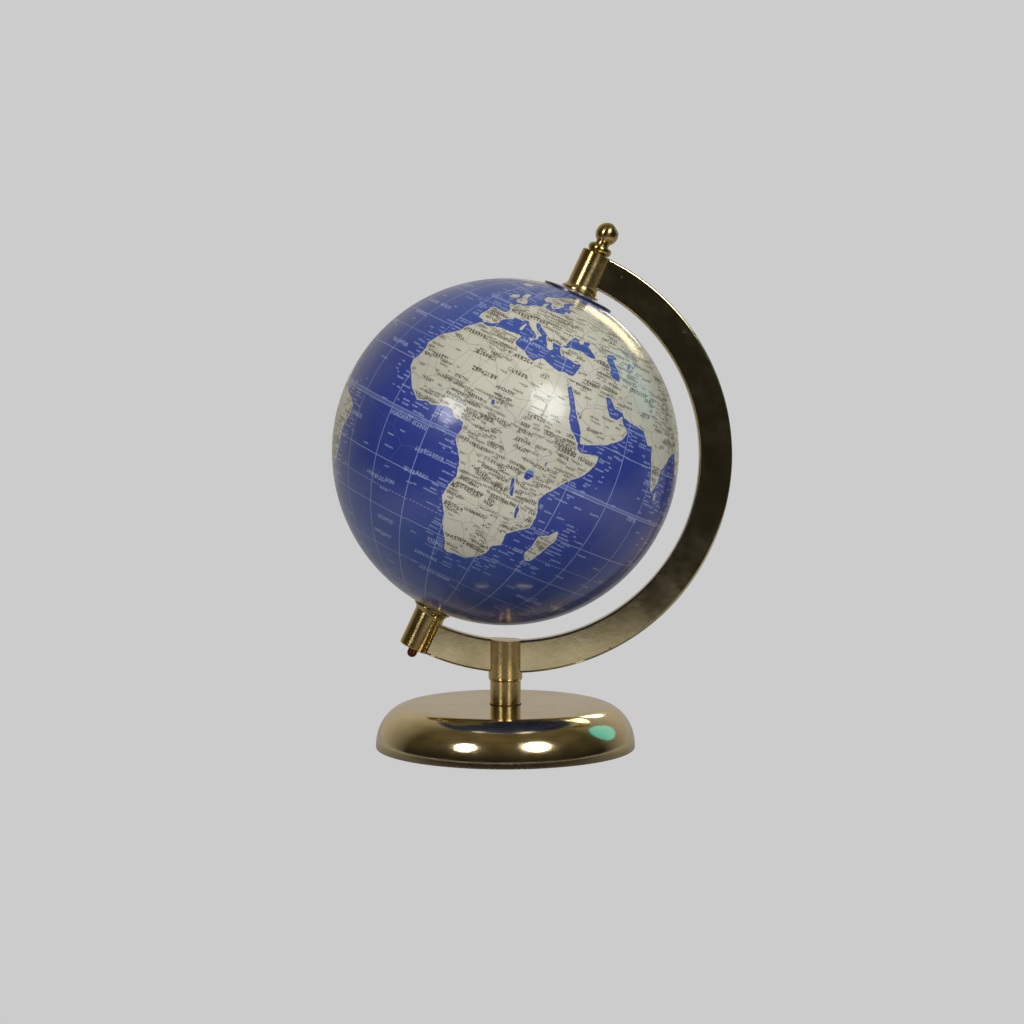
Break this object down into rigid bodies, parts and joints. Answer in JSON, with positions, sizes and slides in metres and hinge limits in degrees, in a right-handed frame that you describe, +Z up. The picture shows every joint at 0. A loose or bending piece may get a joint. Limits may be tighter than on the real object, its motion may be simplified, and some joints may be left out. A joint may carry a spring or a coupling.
{
  "type": "desktop globe on stand",
  "caption": "Small terrestrial globe that turns on a tilted rod in a C-shaped brass meridian arc, on a short post and a round weighted brass base.",
  "frame": {"origin": "on the table, at the centre of the underside of the base felt", "axes": "+Z up along the stem, +X towards the side where the meridian arc stands, the way the north pole leans; -Y towards the viewer"},
  "size_m": [0.1466, 0.127, 0.1929],
  "materials": {
    "brass_turned": "polished brass plate on turned pieces",
    "brass_arc": "polished brass plate on the cast arc",
    "brass_base": "polished brass plate on spun steel",
    "steel_rod": "plain drawn rod, browned at its end",
    "steel_bolt": "zinc plated",
    "cast_weight": "rough cast",
    "felt": "pressed felt",
    "nylon": "natural nylon",
    "board": "pressed grey-brown board",
    "map_paper": "printed paper under clear gloss lacquer",
    "pole_cap": "printed paper disc under gloss lacquer",
    "eyelet": "drawn brass eyelet"
  },
  "bodies": {
    "stand": {"axis_rod": "steel_rod", "base_felt": "felt", "base_shell": "brass_base", "base_weight": "cast_weight", "bolt_washer": "steel_bolt", "bottom_boss": "brass_turned", "finial": "brass_turned", "lock_washer": "steel_bolt", "meridian_arc": "brass_arc", "north_washer": "nylon", "south_washer": "nylon", "stem_bolt": "steel_bolt", "stem_post": "brass_turned", "stem_sleeve": "brass_turned", "top_boss": "brass_turned"},
    "globe": {"equator_lap_ring": "board", "map_north": "map_paper", "map_south": "map_paper", "north_bush": "eyelet", "north_hemisphere": "board", "north_pole_cap": "pole_cap", "south_bush": "eyelet", "south_hemisphere": "board"}
  },
  "joints": [
    {"name": "globe_spin", "type": "hinge", "parent": "stand", "child": "globe", "pos_m": [0, 0, 0.10917], "axis": [0.4226, 0, 0.9063], "continuous": true}
  ]
}
